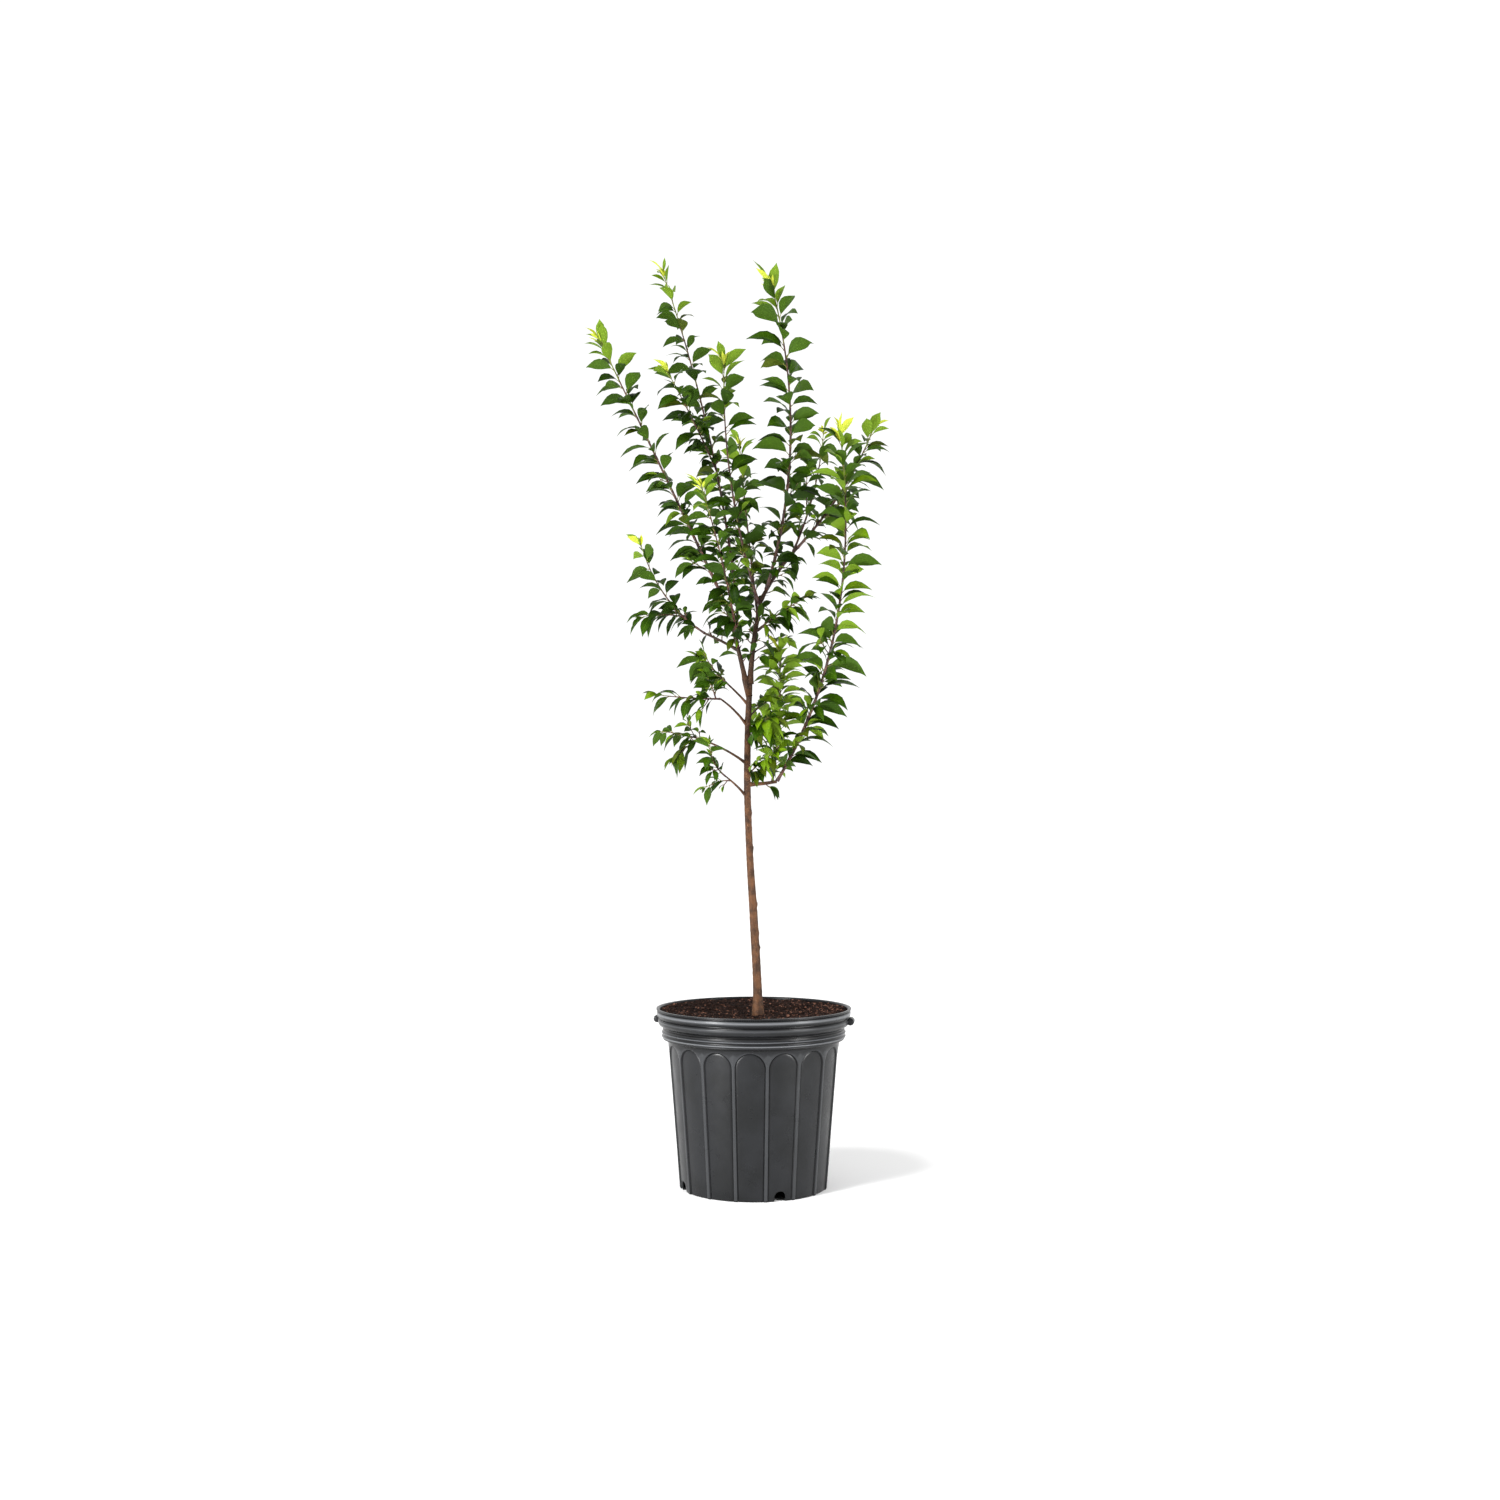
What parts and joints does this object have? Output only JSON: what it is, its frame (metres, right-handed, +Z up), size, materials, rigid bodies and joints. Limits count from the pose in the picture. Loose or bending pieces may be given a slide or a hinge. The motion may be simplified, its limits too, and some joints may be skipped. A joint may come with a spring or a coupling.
{
  "type": "potted plum tree",
  "caption": "Young plum tree with a slender bare trunk and upright leafy shoots, standing in a round ribbed nursery pot filled with potting mix.",
  "frame": {"origin": "centre of the pot's flat underside", "axes": "+Z up the trunk, +X to the right and -Y to the front as the picture shows it"},
  "size_m": [0.5461, 0.4955, 1.6724],
  "materials": {
    "pot": "dark grey moulded plastic with a fine pebbled grain and a soft sheen",
    "soil": "loose dark reddish-brown bark mix with lighter chips",
    "bark": "thin smooth reddish-brown bark with pale dots",
    "foliage": "glossy mid and dark green leaves, yellow-green at the shoot tips"
  },
  "bodies": {
    "root": {"pot": "pot", "soil": "soil", "trunk": "bark", "bough_left": "bark", "bough_right": "bark", "bough_far_right": "bark", "bough_upper_left": "bark", "bough_centre": "bark", "bough_low_left": "bark", "bough_side_right": "bark", "branch_left_top": "bark", "branch_left_high": "bark", "branch_left_mid": "bark", "branch_left_low": "bark", "foliage_upper_left": "foliage", "foliage_top_left": "foliage", "foliage_centre": "foliage", "foliage_tall_right": "foliage", "foliage_far_right": "foliage", "foliage_mid_right": "foliage", "foliage_outer_right": "foliage", "foliage_inner_right": "foliage", "foliage_low_left": "foliage", "foliage_left_top": "foliage", "foliage_left_high": "foliage", "foliage_left_mid": "foliage", "foliage_left_low": "foliage", "foliage_left_twig": "foliage", "foliage_right_top": "foliage", "foliage_right_high": "foliage", "foliage_right_low": "foliage", "foliage_right_spray": "foliage", "foliage_right_twig": "foliage", "foliage_front": "foliage", "foliage_back": "foliage"}
  },
  "joints": []
}
